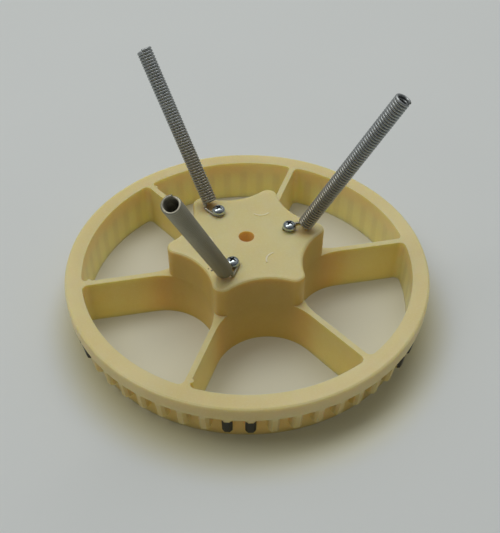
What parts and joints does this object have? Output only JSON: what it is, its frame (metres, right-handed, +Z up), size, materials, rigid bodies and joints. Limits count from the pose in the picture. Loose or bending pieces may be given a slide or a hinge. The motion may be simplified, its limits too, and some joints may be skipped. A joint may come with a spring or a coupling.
{
  "type": "capsule wheel",
  "caption": "Moulded plastic carrier wheel with open pockets between thin spokes, drive teeth round its rim, and close-wound springs screwed to a star-shaped hub.",
  "frame": {"origin": "on the shaft bore's axis, on the plane that the wheel stands on", "axes": "+Z up along the shaft bore, towards the hub's top; +X along the middle of one spoke"},
  "size_m": [0.19, 0.19, 0.124],
  "materials": {
    "wheel_plastic": "cream moulded plastic, slightly translucent, faint sheen",
    "spring_steel": "drawn spring wire, dull dark grey",
    "zinc_screw": "bright zinc plating, bluish"
  },
  "bodies": {
    "root": {"wheel": "wheel_plastic", "right_spring": "spring_steel", "rear_spring": "spring_steel", "front_spring": "spring_steel", "spring_screws": "zinc_screw"}
  },
  "joints": []
}
